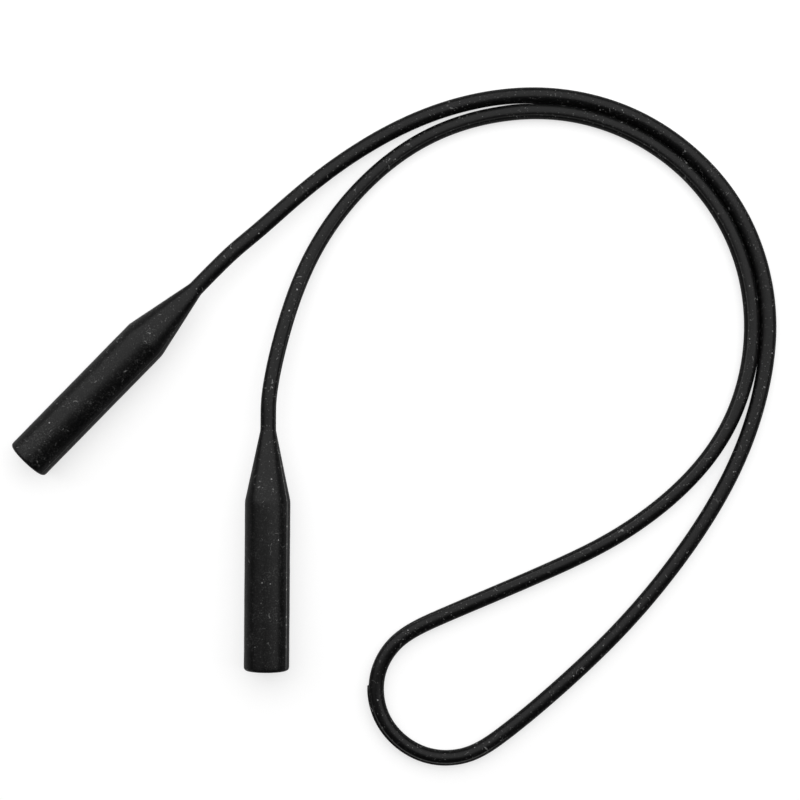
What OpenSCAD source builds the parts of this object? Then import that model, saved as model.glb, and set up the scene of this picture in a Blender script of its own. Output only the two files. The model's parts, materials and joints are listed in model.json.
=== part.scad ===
// Eyeglass retainer strap: a round silicone cord with a hollow sleeve moulded on each end.
// It lies on a table, doubled over, with both sleeves on the same side. Z = 0 is the table.
// The origin is midway between the two sleeves. Headings are measured from +X towards +Y,
// and a sleeve's heading points from its mouth to its cord.

/* [Cord] */
// Diameter of the cord
cord_d = 3; // [2.4:0.1:3]

/* [Sleeves] */
// Outer diameter of a sleeve
sleeve_d = 9; // [7.5:0.5:10]
// Length of a sleeve's straight part, from its mouth to its cone
barrel_l = 33.5; // [26:0.5:36]
// Length of the cone that joins the straight part to the cord
cone_l = 14; // [10:0.5:16]
// Length of the stub of cord that stays in line with the sleeve
stub_l = 4; // [3:0.5:5]
// Diameter of the socket that holds the temple of the glasses
socket_d = 4.4; // [3.6:0.2:5]
// Depth of the socket, from the mouth to its flat bottom
socket_depth = 38; // [25:0.5:40]
// Radius of the rounded outer edge of the mouth
mouth_r = 0.7; // [0.4:0.1:1.4]
// Radius of the rounded inner edge of the mouth
lip_r = 0.4; // [0.2:0.1:0.6]

/* [Layout] */
// X of the left sleeve's small end, where its cone meets the cord
left_x = 8.3; // [8:0.1:9.4]
// Y of the left sleeve's small end
left_y = 35.6; // [35:0.1:36.6]
// Heading of the left sleeve, in degrees
left_heading = 46; // [44:0.5:48]
// X of the right sleeve's small end
right_x = 22.9; // [22.4:0.1:23.6]
// Y of the right sleeve's small end
right_y = 7.8; // [7:0.1:8]
// Heading of the right sleeve, in degrees
right_heading = 90; // [88:0.5:92]

/* [Hidden] */

$fn = 64;
SIDES = 8;           // sides of the cord's tube
RINGS_PER_STEP = 2;  // rings from one route point to the next
NECK_STEPS = 1.5;    // route steps at each end that belong to the neck, which flexes
ARC_STEPS = 6;       // straight steps in each rounded edge of the mouth

cord_r = cord_d / 2;
sleeve_r = sleeve_d / 2;
socket_r = socket_d / 2;
sleeve_l = barrel_l + cone_l;
lift_h = sleeve_r - cord_r;  // the cord leaves a sleeve this much higher than it lies

function along(heading) = [cos(heading), sin(heading)];
function stub_end(x, y, heading) = let (p = [x, y] + stub_l * along(heading)) [p[0], p[1], 1];

// The cord's route, as [x, y, lift]. A lift of 0 is on the table, and 1 is level with a sleeve's axis.
route = [
    stub_end(left_x, left_y, left_heading),
    [16, 43.5, 1], [21, 47.5, 0.75], [31.5, 57.5, 0.35], [45, 67, 0], [60, 73.5, 0],
    [78, 76, 0], [96.5, 71.5, 0], [111.5, 60, 0], [120, 46, 0], [123.5, 28.5, 0],
    [119.5, 9, 0], [112.5, -6, 0], [103, -20, 0], [92, -33, 0], [78.5, -45.5, 0],
    [70, -52.5, 0], [63, -57.5, 0], [53.5, -57.5, 0], [45.5, -51, 0], [43.7, -41.5, 0],
    [48, -33.5, 0], [56.5, -29.5, 0], [67, -25, 0], [78.5, -20, 0], [93.5, -13, 0],
    [108.5, -1, 0], [117.5, 13.5, 0], [120, 31.5, 0], [115.5, 48.5, 0], [104.5, 62.5, 0],
    [88.5, 71, 0], [71.5, 72.5, 0], [53.5, 67.5, 0], [39.5, 56, 0], [30, 42, 0.2],
    [25, 26, 0.75], [23, 15.5, 1],
    stub_end(right_x, right_y, right_heading)
];
last = len(route) - 1;

// A smooth curve (uniform cubic B-spline) that the route's points pull along. t counts route points.
function route_point(i) =
    i < 0 ? 2 * route[0] - route[1]
    : i > last ? 2 * route[last] - route[last - 1]
    : route[i];

function spot(t) =
    let (i = min(floor(t), last - 1), u = t - i)
    ((1 - u) ^ 3 * route_point(i - 1)
     + (3 * u ^ 3 - 6 * u ^ 2 + 4) * route_point(i)
     + (-3 * u ^ 3 + 3 * u ^ 2 + 3 * u + 1) * route_point(i + 1)
     + u ^ 3 * route_point(i + 2)) / 6;

function centre(t) = let (p = spot(t)) [p[0], p[1], cord_r + lift_h * p[2]];

// The cord's direction. At both ends it is the sleeve's own axis, so that the faces meet flat.
function forward(t) =
    t <= 0 ? [cos(left_heading), sin(left_heading), 0]
    : t >= last ? -[cos(right_heading), sin(right_heading), 0]
    : let (d = centre(min(t + 0.1, last)) - centre(max(t - 0.1, 0))) d / norm(d);

// One ring of the tube, with a flat side down so that the cord lies firmly
function ring(t) =
    let (
        f = forward(t),
        side = cross(f, [0, 0, 1]) / norm(cross(f, [0, 0, 1])),
        up = cross(side, f),
        corner_r = cord_r / cos(180 / SIDES)
    )
    [for (k = [0 : SIDES - 1])
        let (a = 360 * (k + 0.5) / SIDES)
        centre(t) + corner_r * (cos(a) * side + sin(a) * up)];

// A closed tube along the route from t0 to t1
module tube(t0, t1) {
    steps = round((t1 - t0) * RINGS_PER_STEP);
    rings = [for (i = [0 : steps]) ring(t0 + (t1 - t0) * i / steps)];
    polyhedron(
        points = [for (r = rings) each r],
        faces = [
            [for (k = [0 : SIDES - 1]) k],
            for (i = [0 : steps - 1], k = [0 : SIDES - 1])
                let (a = i * SIDES + k, b = i * SIDES + (k + 1) % SIDES)
                each [[a, a + SIDES, b], [b, a + SIDES, b + SIDES]],
            [for (k = [SIDES - 1 : -1 : 0]) steps * SIDES + k]
        ]
    );
}

// Outline of a sleeve as [radius, distance from the mouth], with both edges of the mouth rounded
function sleeve_outline() = concat(
    [[0, lip_r]],
    [for (k = [0 : ARC_STEPS])
        let (a = 90 * k / ARC_STEPS)
        [socket_r + lip_r - lip_r * cos(a), lip_r - lip_r * sin(a)]],
    [for (k = [0 : ARC_STEPS])
        let (a = 90 * k / ARC_STEPS)
        [sleeve_r - mouth_r + mouth_r * sin(a), mouth_r - mouth_r * cos(a)]],
    [
        [sleeve_r, barrel_l],
        [cord_r, sleeve_l],
        [cord_r, sleeve_l + stub_l],
        [0, sleeve_l + stub_l]
    ]
);

// A sleeve lying on the table, with its small end at x, y
module sleeve(x, y, heading) {
    translate([x, y, sleeve_r])
        rotate([0, 0, heading])
            translate([-sleeve_l, 0, 0])
                rotate([0, 90, 0])
                    difference() {
                        rotate_extrude() polygon(sleeve_outline());
                        cylinder(r = socket_r, h = socket_depth);
                    }
}

module cord() {
    color([0.09, 0.09, 0.09]) tube(NECK_STEPS, last - NECK_STEPS);
}

module left_neck() {
    color([0.11, 0.11, 0.11]) tube(0, NECK_STEPS);
}

module left_sleeve() {
    color([0.13, 0.13, 0.13]) sleeve(left_x, left_y, left_heading);
}

module right_neck() {
    color([0.11, 0.11, 0.11]) tube(last - NECK_STEPS, last);
}

module right_sleeve() {
    color([0.13, 0.13, 0.13]) sleeve(right_x, right_y, right_heading);
}

cord();
left_neck();
left_sleeve();
right_neck();
right_sleeve();
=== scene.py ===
"""The looks of the eyeglass retainer strap: one black silicone moulding, doubled over on a pale table.

The strap is one long line. A station is a distance along that line in metres: 0 is the end of the left
sleeve's stub, the cord runs on to the end of the right sleeve's stub, and the sleeves lie beyond both of
them. Every piece is a stretch of the same line, so that neighbouring pieces meet ring for ring.
"""

import json
import math

import bpy
import numpy as np
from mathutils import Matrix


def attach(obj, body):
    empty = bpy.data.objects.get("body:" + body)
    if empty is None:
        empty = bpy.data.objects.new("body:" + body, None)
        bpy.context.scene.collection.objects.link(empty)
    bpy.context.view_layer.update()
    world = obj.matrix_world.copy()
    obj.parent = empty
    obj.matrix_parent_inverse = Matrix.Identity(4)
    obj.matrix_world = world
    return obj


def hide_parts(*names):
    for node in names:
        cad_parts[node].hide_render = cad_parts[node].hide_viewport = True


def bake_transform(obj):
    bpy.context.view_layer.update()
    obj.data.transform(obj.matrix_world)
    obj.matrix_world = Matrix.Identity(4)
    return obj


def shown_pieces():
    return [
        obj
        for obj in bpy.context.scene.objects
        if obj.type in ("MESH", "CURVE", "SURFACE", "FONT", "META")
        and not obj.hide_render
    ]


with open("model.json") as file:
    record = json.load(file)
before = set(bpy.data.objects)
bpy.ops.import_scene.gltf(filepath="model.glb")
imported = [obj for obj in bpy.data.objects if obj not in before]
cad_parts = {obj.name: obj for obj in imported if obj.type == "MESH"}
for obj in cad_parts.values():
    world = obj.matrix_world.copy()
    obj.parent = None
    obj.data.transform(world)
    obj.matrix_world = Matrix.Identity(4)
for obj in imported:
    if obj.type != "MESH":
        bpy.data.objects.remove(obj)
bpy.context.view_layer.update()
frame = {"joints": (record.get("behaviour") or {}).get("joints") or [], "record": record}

MM = 0.001
DEG = math.radians(1)


# ---------------------------------------------------------------- what the frame says

def joint_place(name):
    """A joint's pivot."""
    return np.array(next(j["pos_m"] for j in frame["joints"] if j["name"] == name))


def mount(name):
    return next(m for m in frame["record"]["mounts"] if m["name"] == name)


def unit(v):
    v = np.asarray(v, float)
    return v / np.linalg.norm(v, axis=-1, keepdims=True)


LEFT_END = joint_place("left_sleeve_swing")    # where the left sleeve's stub meets the cord
RIGHT_END = joint_place("right_sleeve_swing")
LEFT_OUT = unit(mount("left_socket")["axis"])  # out of the left sleeve's mouth
RIGHT_OUT = unit(mount("right_socket")["axis"])
SOCKET_R = mount("left_socket")["dims"]["r_mm"] * MM

# ---------------------------------------------------------------- driving sizes, as in the CAD source

CORD_R = 1.5 * MM
SLEEVE_R = float(LEFT_END[2])  # the sleeves lie on the table, so their axes are this high
BARREL_L = 33.5 * MM
CONE_L = 14 * MM
STUB_L = 4 * MM
SLEEVE_L = BARREL_L + CONE_L + STUB_L
SOCKET_DEPTH = 38 * MM
MOUTH_R = 0.7 * MM
LIP_R = 0.4 * MM

# The cord's route between the two stub ends, as (x, y, lift). A lift of 1 is level with a sleeve's axis.
# Its points weren't chosen by hand: a fitting program worked them out.
ROUTE = [
    (0.0160, 0.0435, 1), (0.0210, 0.0475, 0.75), (0.0315, 0.0575, 0.35), (0.0450, 0.0670, 0),
    (0.0600, 0.0735, 0), (0.0780, 0.0760, 0), (0.0965, 0.0715, 0), (0.1115, 0.0600, 0),
    (0.1200, 0.0460, 0), (0.1235, 0.0285, 0), (0.1195, 0.0090, 0), (0.1125, -0.0060, 0),
    (0.1030, -0.0200, 0), (0.0920, -0.0330, 0), (0.0785, -0.0455, 0), (0.0700, -0.0525, 0),
    (0.0630, -0.0575, 0), (0.0535, -0.0575, 0), (0.0455, -0.0510, 0), (0.0437, -0.0415, 0),
    (0.0480, -0.0335, 0), (0.0565, -0.0295, 0), (0.0670, -0.0250, 0), (0.0785, -0.0200, 0),
    (0.0935, -0.0130, 0), (0.1085, -0.0010, 0), (0.1175, 0.0135, 0), (0.1200, 0.0315, 0),
    (0.1155, 0.0485, 0), (0.1045, 0.0625, 0), (0.0885, 0.0710, 0), (0.0715, 0.0725, 0),
    (0.0535, 0.0675, 0), (0.0395, 0.0560, 0), (0.0300, 0.0420, 0.2), (0.0250, 0.0260, 0.75),
    (0.0230, 0.0155, 1),
]
STEPS_PER_POINT = 60  # how finely the smooth curve is worked out
FLAT_BLEND = 5 * MM   # the cord turns into line with each sleeve's axis over this length


def smooth(x):
    x = np.clip(x, 0, 1)
    return x * x * (3 - 2 * x)


# ---------------------------------------------------------------- the strap's line

def cord_line():
    """The cord's centre from one stub end to the other: a uniform cubic B-spline along the route."""
    lifts = [[x, y, CORD_R + (SLEEVE_R - CORD_R) * lift] for x, y, lift in ROUTE]
    p = np.vstack([LEFT_END, lifts, RIGHT_END])
    p = np.vstack([2 * p[0] - p[1], p, 2 * p[-1] - p[-2]])
    u = np.arange(STEPS_PER_POINT)[:, None] / STEPS_PER_POINT
    stretches = [
        ((1 - u) ** 3 * p[i - 1] + (3 * u ** 3 - 6 * u ** 2 + 4) * p[i]
         + (-3 * u ** 3 + 3 * u ** 2 + 3 * u + 1) * p[i + 1] + u ** 3 * p[i + 2]) / 6
        for i in range(1, len(p) - 2)
    ]
    return np.vstack(stretches + [RIGHT_END])


LINE = cord_line()
LINE_AT = np.concatenate([[0], np.cumsum(np.linalg.norm(np.diff(LINE, axis=0), axis=1))])
CORD_L = float(LINE_AT[-1])
LINE_WAY = unit(np.gradient(LINE, LINE_AT, axis=0))
TABLE_UP = np.array([0, 0, 1.0])


def centre(at):
    """The strap's centre at stations at, an array."""
    at = np.asarray(at, float)[:, None]
    inside = np.hstack([np.interp(at, LINE_AT, LINE[:, k]) for k in range(3)])
    return inside - np.minimum(at, 0) * LEFT_OUT + np.maximum(at - CORD_L, 0) * RIGHT_OUT


def forward(at):
    """The strap's direction at stations at, from the left sleeve towards the right one."""
    at = np.asarray(at, float)[:, None]
    way = np.hstack([np.interp(at, LINE_AT, LINE_WAY[:, k]) for k in range(3)])
    left, right = smooth(at / FLAT_BLEND), smooth((CORD_L - at) / FLAT_BLEND)
    return unit(left * right * way - (1 - left) * LEFT_OUT + (1 - right) * RIGHT_OUT)


# ---------------------------------------------------------------- the strap's cross-section

CORNER_SOFT = 0.11 * MM  # the cone's corners are eased by this much
WOBBLE = 0.006           # the moulding is out of round by up to this share of its radius
OVAL = 0.03              # the cord is this much wider than it is high

# Two parting lines run along the strap, opposite each other, on a plane that is twisted along it:
# (station, the plane's angle above the strap's right-hand side in degrees). Where the angle is below 0,
# it is the line on the left-hand side that shows from above.
SEAM_TURN = [(-SLEEVE_L, 28), (0, 28), (0.12, 5), (0.22, -30), (0.25, -34), (0.265, -28), (0.284, -20),
             (0.31, -45), (0.34, -53), (CORD_L - 0.04, -57), (CORD_L, -28)]
SEAM_H = 0.010           # the ridge's height, as a share of the radius
SEAM_W = 0.11 * MM
SEAM_SHOWS = (0.4, 1.6)  # how bright the parting line's painted highlight is on the left sleeve and on the right one
SEAM_ON_CORD = 0.2       # and on the cord, as a share of that

# A band of flash is left on the outside of the bight. It grows slowly along the strap and stops abruptly.
FLASH_FROM, FLASH_TO = 0.246, 0.2838
FLASH_H = 0.34 * MM      # at its tallest
FLASH_W = 0.29 * MM
FLASH_EDGE = 4           # the higher, the steeper the band's sides
FLASH_STEP = 0.1 * MM    # it stops over this length
EDGE_HIGHLIGHT = 1.2          # how bright the painted highlight along the band's upper edge is, at its brightest
EDGE_W = 0.1 * MM
EDGE_UP = 0.58 * MM      # how far round the painted highlight is from the parting line
EDGE_FADE = 12 * MM      # the painted highlight comes and goes over this length

# The outer run lies against the inner one between these stations. Each run's side flattens against the
# other's, over SIDE_EASE at both ends.
SIDE_FROM, SIDE_TO = 0.067, 0.164
SIDE_EASE = 9 * MM
SIDE_CLEAR = 0.02 * MM


def side_reach():
    """How much nearer each point's side comes to the other run than a round cord's would."""
    reach = np.zeros(len(LINE))
    outer = LINE_AT < CORD_L / 2
    apart = np.linalg.norm(LINE[outer][:, None] - LINE[~outer][None], axis=2)
    opposite = LINE_AT[outer][np.argmin(apart, axis=0)]  # the outer run's station beside each inner point
    for run, axis, at in ((outer, 1, LINE_AT[outer]), (~outer, 0, opposite)):
        fade = smooth((at - SIDE_FROM) / SIDE_EASE) * smooth((SIDE_TO - at) / SIDE_EASE)
        gap = apart.min(axis=axis) - 2 * CORD_R * (1 + OVAL) - SIDE_CLEAR
        reach[run] = fade * np.maximum(gap, 0) / 2
    return reach


SIDE_REACH = side_reach()


def below(a, b, soft):
    """The lesser of a and b, with the corner between them eased."""
    h = np.maximum(soft - np.abs(a - b), 0) / soft
    return np.minimum(a, b) - h * h * soft / 4


def outer_radius(at):
    """The strap's radius at stations at: cord, cone and barrel, with the mouth's outer edge rounded."""
    d = np.minimum(at + SLEEVE_L, CORD_L + SLEEVE_L - at)  # distance from the nearer mouth
    cone = SLEEVE_R - (d - BARREL_L) * (SLEEVE_R - CORD_R) / CONE_L
    r = -below(-below(cone, SLEEVE_R + 0 * d, CORNER_SOFT), -CORD_R + 0 * d, CORNER_SOFT)
    rounding = np.clip(MOUTH_R - d, 0, MOUTH_R)
    return r - MOUTH_R + np.sqrt(MOUTH_R ** 2 - rounding ** 2)


def wobble(at, angle):
    """A smooth pattern from 0 to 1 over the strap's surface, slightly out of round and never the same."""
    s = at / MM
    waves = (0.45 * np.sin(s * 0.37 + 2 * angle + 1.0) + 0.30 * np.sin(s * 0.83 - 3 * angle + 2.2)
             + 0.25 * np.sin(s * 1.61 + angle + 0.5))
    return 0.5 + 0.5 * waves


def around():
    """Angles of a ring's corners from the parting plane: close together at both parting lines."""
    half = [1.2, 2.4, 4, 6.5, 9.5, 11, 12.5, 16, 22, 31, 41, 52, 64, 77]
    quarter = [0, *half]
    return np.array(sorted([*quarter, 90, *[180 - a for a in quarter], *[180 + a for a in half], 270,
                            *[360 - a for a in half]])) * DEG


AROUND = around()


def ring(at, radius=None):
    """One ring of the strap at station at. With a radius it is a plain circle, for a socket.
    Returns its points, how much painted highlight each carries along the parting lines and the flash's edge,
    and how thick it is: 0 is cord, 1 is sleeve."""
    a = np.array([at])
    c, f = centre(a)[0], forward(a)[0]
    side = unit(np.cross(f, TABLE_UP))
    up = np.cross(side, f)
    stations, turns = zip(*SEAM_TURN)
    turn = np.interp(at, stations, turns) * DEG
    angle = turn + AROUND
    if radius is not None:
        r, seam, thick = np.full(len(angle), radius), np.zeros(len(angle)), 1
    else:
        plain = outer_radius(a)[0]
        thick = (plain - CORD_R) / (SLEEVE_R - CORD_R)  # 0 on the cord, 1 on a sleeve
        # how far round each point is from the two parting lines
        first = np.abs((AROUND + math.pi) % (2 * math.pi) - math.pi) * plain
        second = np.abs(AROUND - math.pi) * plain
        fade = smooth(min(at + SLEEVE_L, CORD_L + SLEEVE_L - at) / MOUTH_R - 0.3)
        seam = (np.exp(-(first / SEAM_W) ** 2) + np.exp(-(second / SEAM_W) ** 2)) * fade
        grown = np.clip((at - FLASH_FROM) / (FLASH_TO - FLASH_FROM), 0, 1) ** 2 * (at < FLASH_TO)
        flash = grown * np.exp(-(second / FLASH_W) ** FLASH_EDGE)
        wide = CORD_R * OVAL * (1 - thick) + np.interp(at, LINE_AT, SIDE_REACH) * (np.cos(angle) > 0)
        r = plain * (1 - WOBBLE * wobble(at, angle) + SEAM_H * seam) + FLASH_H * flash
        r = r + wide * np.cos(angle) ** 2
        # the parting line's pale colour and the pale line along the flash's upper edge are painted
        # highlights, standing in for the light these ridges catch
        edge = smooth((at - FLASH_FROM) / EDGE_FADE) * smooth((FLASH_TO - at) / EDGE_FADE)
        edge = EDGE_HIGHLIGHT * edge * np.exp(-(((math.pi - AROUND) * plain - EDGE_UP) / EDGE_W) ** 2)
        shows = (SEAM_ON_CORD + (1 - SEAM_ON_CORD) * thick) * np.interp(at, (0, CORD_L), SEAM_SHOWS)
        seam = seam * shows + edge
    points = c + r[:, None] * (np.cos(angle)[:, None] * side + np.sin(angle)[:, None] * up)
    return points, seam, np.full(len(angle), thick)


def tube(name, rows):
    """A closed solid through rings, given as (station, radius or None), with a flat cap at each end."""
    made = [ring(at, radius) for at, radius in rows]
    n, m = len(rows), len(AROUND)
    verts = np.vstack([points for points, _, _ in made])
    k = np.arange(m)
    sides = [
        (int(i * m + a), int(i * m + b), int((i + 1) * m + b), int((i + 1) * m + a))
        for i in range(n - 1) for a, b in zip(k, (k + 1) % m)
    ]
    caps = [tuple(range(m - 1, -1, -1)), tuple(range((n - 1) * m, n * m))]
    me = bpy.data.meshes.new(name)
    me.from_pydata(verts.tolist(), [], sides + caps)
    me.polygons.foreach_set("use_smooth", [True] * len(sides) + [False] * 2)
    rows_of = np.empty(len(me.edges) * 2, int)
    me.edges.foreach_get("vertices", rows_of)
    rows_of = rows_of.reshape(-1, 2) // m
    at_cap = (rows_of[:, 0] == rows_of[:, 1]) & np.isin(rows_of[:, 0], (0, n - 1))
    me.attributes.new("sharp_edge", "BOOLEAN", "EDGE").data.foreach_set("value", at_cap)
    # seam carries the painted highlight along the parting lines and the flash's edge
    for part, key in enumerate(("seam", "handled"), 1):
        values = np.concatenate([row[part] for row in made]).astype(np.float32)
        me.attributes.new(key, "FLOAT", "POINT").data.foreach_set("value", values)
    rest = me.attributes.new("rest", "FLOAT_VECTOR", "POINT")
    rest.data.foreach_set("vector", verts.astype(np.float32).ravel())
    obj = bpy.data.objects.new(name, me)
    bpy.context.scene.collection.objects.link(obj)
    return obj


# ---------------------------------------------------------------- pieces

RING_STEP = 0.9 * MM   # from ring to ring
NECK_STEP = 0.6 * MM   # and where the strap bends
CORNER_RINGS = np.array([-0.3, -0.12, 0, 0.12, 0.3]) * MM  # rings about each corner of the cone
BLEND_HALF = 4.6 * MM  # a neck piece runs this far past its lift joint, towards the cord


def nearest_station(place):
    return float(LINE_AT[np.argmin(np.linalg.norm(LINE - place, axis=1))])


SWING_AT = {"left": 0, "right": CORD_L}
LIFT_AT = {hand: nearest_station(joint_place(f"{hand}_neck_lift")) for hand in ("left", "right")}
# where a sleeve's piece meets its neck, and where the neck meets the cord
CUT = {hand: (SWING_AT[hand] + LIFT_AT[hand]) / 2 for hand in ("left", "right")}
NECK_END = {"left": LIFT_AT["left"] + BLEND_HALF, "right": LIFT_AT["right"] - BLEND_HALF}


def stations(start, end, step=RING_STEP):
    return np.linspace(start, end, max(2, round(abs(end - start) / step) + 1))


def cord():
    """The cord between the necks, and its path. Two close rings make the flash end in a step."""
    at = np.concatenate([stations(NECK_END["left"], FLASH_TO - FLASH_STEP / 2),
                         stations(FLASH_TO + FLASH_STEP / 2, NECK_END["right"])])
    return tube("cord_round", [(s, None) for s in at]), centre(at)


def neck(hand):
    at = stations(CUT[hand], NECK_END[hand], NECK_STEP)
    return tube(f"{hand}_neck_round", [(s, None) for s in np.sort(at)])


def sleeve(hand):
    """A hollow sleeve with its cone, its stub and the first of the cord. Its rings are worked out by their
    distance from the mouth, and run from the cord to the mouth and on inwards to the socket's floor."""
    cone_end = BARREL_L + CONE_L
    cut = SLEEVE_L + (CUT["left"] if hand == "left" else CORD_L - CUT["right"])
    outside = np.concatenate([
        MOUTH_R * (1 - np.sin(np.linspace(0, 90, 9) * DEG))[::-1],
        stations(MOUTH_R, BARREL_L - 0.6 * MM)[1:],
        BARREL_L + CORNER_RINGS,
        stations(BARREL_L + 0.8 * MM, cone_end - 0.8 * MM, 0.7 * MM),
        cone_end + CORNER_RINGS,
        stations(cone_end + 0.8 * MM, cut, NECK_STEP),
    ])
    turn = np.linspace(0, 90, 7) * DEG
    lip = [(LIP_R * (1 - math.sin(a)), SOCKET_R + LIP_R - LIP_R * math.cos(a)) for a in turn[::-1]]
    bore = [(d, SOCKET_R) for d in stations(LIP_R + 1 * MM, SOCKET_DEPTH - LIP_R - 1 * MM, 2 * MM)]
    bottom = [(SOCKET_DEPTH - LIP_R + LIP_R * math.sin(a), SOCKET_R - LIP_R + LIP_R * math.cos(a))
              for a in turn]
    rows = [(d, None) for d in outside[::-1]] + lip + bore + bottom
    if hand == "left":
        return tube("left_sleeve_moulded", [(d - SLEEVE_L, r) for d, r in rows])
    return tube("right_sleeve_moulded", [(CORD_L + SLEEVE_L - d, r) for d, r in rows])


# ---------------------------------------------------------------- material

class Nodes:
    """Short calls for building a material's node tree."""

    def __init__(self, name):
        self.material = bpy.data.materials.new(name)
        self.material.use_nodes = True
        self.tree = self.material.node_tree
        self.tree.nodes.clear()

    def add(self, kind, **settings):
        node = self.tree.nodes.new(kind)
        for key, value in settings.items():
            setattr(node, key, value)
        return node

    def put(self, socket, value):
        """Sets a socket, or links it if value is another node's output."""
        if isinstance(value, bpy.types.NodeSocket):
            self.tree.links.new(value, socket)
        else:
            socket.default_value = value

    def attribute(self, name, output):
        return self.add("ShaderNodeAttribute", attribute_name=name).outputs[output]

    def maths(self, operation, a, b=0.0):
        node = self.add("ShaderNodeMath", operation=operation)
        self.put(node.inputs[0], a)
        self.put(node.inputs[1], b)
        return node.outputs[0]

    def ramp(self, value, low, high, to_low=0.0, to_high=1.0):
        """to_low at low and below, to_high at high and above, smooth between them."""
        node = self.add("ShaderNodeMapRange", interpolation_type="SMOOTHSTEP")
        for socket, number in zip(node.inputs, (value, low, high, to_low, to_high)):
            self.put(socket, number)
        return node.outputs[0]

    def noise(self, place, size, detail=2.0):
        """Noise whose blotches are about size metres across."""
        node = self.add("ShaderNodeTexNoise")
        self.put(node.inputs["Vector"], place)
        self.put(node.inputs["Scale"], 1 / size)
        self.put(node.inputs["Detail"], detail)
        return node.outputs["Fac"]

    def specks(self, place, spacing, radius, rarity):
        """Specks about spacing apart and up to radius in size. The greater rarity, the fewer are strong."""
        cells = self.add("ShaderNodeTexVoronoi")
        self.put(cells.inputs["Vector"], place)
        self.put(cells.inputs["Scale"], 1 / spacing)
        spot = self.ramp(cells.outputs["Distance"], 0.3 * radius / spacing, radius / spacing, 1.0, 0.0)
        chance = self.add("ShaderNodeSeparateColor")
        self.put(chance.inputs[0], cells.outputs["Color"])
        return self.maths("MULTIPLY", spot, self.maths("POWER", chance.outputs[0], rarity))

    def lint(self, place, size, thickness):
        """Short bent fibres: stretches of a noise's middle contour."""
        away = self.maths("ABSOLUTE", self.maths("SUBTRACT", self.noise(place, size, 0.0), 0.5))
        line = self.ramp(away, 0.15 * thickness / size, 0.5 * thickness / size, 1.0, 0.0)
        here = self.ramp(self.noise(place, 0.45 * size, 1.0), 0.59, 0.65)
        return self.maths("MULTIPLY", line, here)


def silicone():
    """Black satin silicone: nearly no colour of its own, fine grain, dust, lint, and a painted highlight
    along the parting lines and the flash's edge.
    """
    n = Nodes("black_silicone")
    place = n.attribute("rest", "Vector")
    # seam is the painted highlight along the parting lines and the flash's edge; extra dust also gathers on
    # it
    seam = n.attribute("seam", "Fac")
    handled = n.attribute("handled", "Fac")
    crumpled = n.add("ShaderNodeVectorMath", operation="MULTIPLY_ADD")  # makes the specks' outlines uneven
    jitter = n.add("ShaderNodeTexNoise")
    n.put(jitter.inputs["Vector"], place)
    n.put(jitter.inputs["Scale"], 1 / (0.25 * MM))
    n.put(crumpled.inputs[0], jitter.outputs["Color"])
    n.put(crumpled.inputs[1], (0.16 * MM,) * 3)
    n.put(crumpled.inputs[2], place)
    uneven = crumpled.outputs[0]

    film = n.ramp(n.noise(place, 3.5 * MM, 3.0), 0.40, 0.66)  # where handling has left a faint haze
    fine = n.specks(uneven, 0.5 * MM, 0.14 * MM, 3.0)
    fine = n.maths("MULTIPLY", fine, n.ramp(handled, 0, 1, 0.38, 0.12))
    coarse = n.specks(uneven, 1.5 * MM, 0.21 * MM, 5.0)
    on_seam = n.maths("MULTIPLY", n.specks(uneven, 0.6 * MM, 0.25 * MM, 2.0), seam)
    fibres = n.maths("MULTIPLY", n.lint(place, 1.9 * MM, 0.09 * MM), n.ramp(film, 0.1, 0.9, 0.10, 0.36))
    dust = n.maths("MAXIMUM", n.maths("MAXIMUM", fine, coarse), n.maths("MAXIMUM", on_seam, fibres))

    colour = n.add("ShaderNodeMix", data_type="RGBA")
    smudge = n.ramp(n.noise(place, 0.3 * MM, 2.0), 0.45, 0.75)
    smudge = n.maths("MULTIPLY", smudge, n.ramp(film, 0, 1, 0.010, 0.028))
    smudge = n.maths("MULTIPLY", smudge, n.ramp(handled, 0, 1, 0.3, 1.1))
    # pale smudges plus the painted highlight along the parting lines and the flash's edge, with dust added
    # on top
    smudge_and_highlight = n.maths("ADD", smudge, n.maths("MULTIPLY", seam, 0.10))
    pale = n.maths("ADD", n.maths("MULTIPLY", dust, 0.42), smudge_and_highlight)
    n.put(colour.inputs["Factor"], pale)
    n.put(colour.inputs["A"], (0.0015, 0.0015, 0.0016, 1))
    n.put(colour.inputs["B"], (0.86, 0.86, 0.85, 1))

    grain = n.noise(place, 0.22 * MM, 3.0)
    rough = n.maths("ADD", n.ramp(grain, 0.3, 0.7, 0.28, 0.38), n.maths("MULTIPLY", film, 0.02))
    bump = n.add("ShaderNodeBump")
    n.put(bump.inputs["Height"], n.maths("ADD", grain, n.maths("MULTIPLY", dust, 1.5)))
    n.put(bump.inputs["Strength"], 0.8)
    n.put(bump.inputs["Distance"], 0.015 * MM)

    shader = n.add("ShaderNodeBsdfPrincipled")
    n.put(shader.inputs["Base Color"], colour.outputs["Result"])
    n.put(shader.inputs["Roughness"], n.maths("ADD", rough, n.maths("MULTIPLY", dust, 0.4)))
    n.put(shader.inputs["Normal"], bump.outputs[0])
    n.put(shader.inputs["IOR"], 1.41)
    n.put(shader.inputs["Specular IOR Level"], 0.25)
    out = n.add("ShaderNodeOutputMaterial")
    n.put(out.inputs["Surface"], shader.outputs[0])
    return n.material


# ---------------------------------------------------------------- stage

FLOOR_HALF = 3.0
FLOOR_GREY = 0.40  # what lights the object from below
FLOOR_GLOW = 0.64  # added only to what the camera sees, so that shadows stay faint


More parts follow.
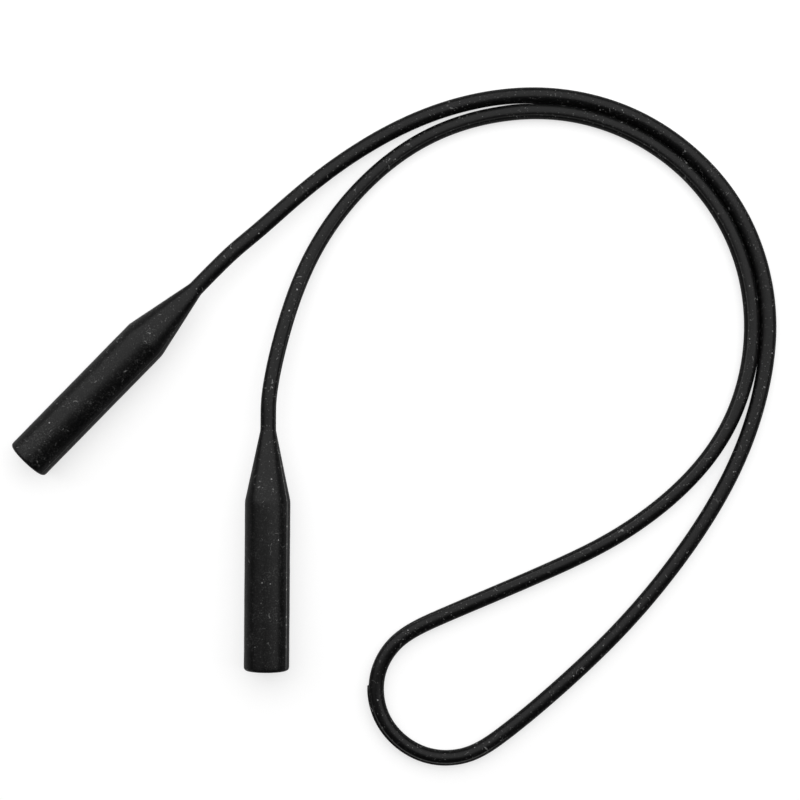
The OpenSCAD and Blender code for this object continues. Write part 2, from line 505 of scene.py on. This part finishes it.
def floor():
    me = bpy.data.meshes.new("floor")
    h = FLOOR_HALF
    me.from_pydata([(-h, -h, 0), (h, -h, 0), (h, h, 0), (-h, h, 0)], [], [(0, 1, 2, 3)])
    obj = bpy.data.objects.new("floor", me)
    bpy.context.scene.collection.objects.link(obj)
    m = bpy.data.materials.new("pale_floor")
    m.use_nodes = True
    shader = m.node_tree.nodes["Principled BSDF"]
    shader.inputs["Base Color"].default_value = (FLOOR_GREY, FLOOR_GREY, FLOOR_GREY, 1)
    shader.inputs["Roughness"].default_value = 0.9
    shader.inputs["Specular IOR Level"].default_value = 0
    shader.inputs["Emission Color"].default_value = (1, 1, 1, 1)
    ray = m.node_tree.nodes.new("ShaderNodeLightPath")
    glow = m.node_tree.nodes.new("ShaderNodeMath")
    glow.operation = "MULTIPLY"
    glow.inputs[1].default_value = FLOOR_GLOW
    m.node_tree.links.new(ray.outputs["Is Camera Ray"], glow.inputs[0])
    m.node_tree.links.new(glow.outputs[0], shader.inputs["Emission Strength"])
    me.materials.append(m)


CEILING_H = 0.5        # height of the softbox
CEILING_SIZE = (3.2, 1.3)
CEILING_EDGE = -0.04   # its near edge runs this far from the origin
CEILING_SHIFT = -0.6   # its middle is this far along that edge
CEILING_TURN = -12.6 * DEG
CEILING_POWER = 26.5
FILL_PLACE = (-0.68, -0.10, 0.49)  # the middle of a faint panel under the softbox's near edge
FILL_SIZE = (1.1, 0.34)
FILL_POWER = 0.62
ROOM_GREY = 0.03


def area_light(name, place, turn, size, power):
    """A rectangular light that faces straight down."""
    lamp = bpy.data.lights.new(name, "AREA")
    lamp.shape = "RECTANGLE"
    lamp.size, lamp.size_y = size
    lamp.energy = power
    obj = bpy.data.objects.new(name, lamp)
    obj.location = place
    obj.rotation_euler = (0, 0, turn)
    bpy.context.scene.collection.objects.link(obj)


def lights():
    world = bpy.data.worlds.new("studio")
    world.use_nodes = True
    world.node_tree.nodes["Background"].inputs["Color"].default_value = (ROOM_GREY, ROOM_GREY, ROOM_GREY, 1)
    bpy.context.scene.world = world
    middle = CEILING_EDGE + CEILING_SIZE[1] / 2
    sine, cosine = math.sin(CEILING_TURN), math.cos(CEILING_TURN)
    place = (cosine * CEILING_SHIFT - sine * middle, sine * CEILING_SHIFT + cosine * middle, CEILING_H)
    area_light("softbox", place, CEILING_TURN, CEILING_SIZE, CEILING_POWER)
    area_light("fill", FILL_PLACE, 0, FILL_SIZE, FILL_POWER)


CAMERA_OVER = (0.04892, 0.01396)
CAMERA_H = 0.4
CAMERA_TURN = 0.41 * DEG
VIEW_WIDTH = 0.16  # how much of the table the picture is wide


def camera():
    lens = bpy.data.cameras.new("camera")
    lens.sensor_width = 36
    lens.lens = lens.sensor_width * CAMERA_H / VIEW_WIDTH
    lens.clip_start = 0.01
    obj = bpy.data.objects.new("camera", lens)
    obj.location = (*CAMERA_OVER, CAMERA_H)
    obj.rotation_euler = (0, 0, CAMERA_TURN)
    bpy.context.scene.collection.objects.link(obj)
    bpy.context.scene.camera = obj


# ---------------------------------------------------------------- assembly

def bend_over(piece):
    """Bakes the piece's placement into its mesh, and leaves it unbent."""
    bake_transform(piece)


camera()
skin = silicone()
cord_piece, cord_path = cord()
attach(cord_piece, "cord")
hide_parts("cord")
for hand in ("left", "right"):
    piece = neck(hand)
    bend_over(piece)
    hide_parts(f"{hand}_neck")
    piece = sleeve(hand)
    bend_over(piece)
    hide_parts(f"{hand}_sleeve")
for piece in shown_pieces():
    piece.data.materials.clear()
    piece.data.materials.append(skin)
floor()
lights()
scene = bpy.context.scene
scene.view_settings.view_transform = "Standard"
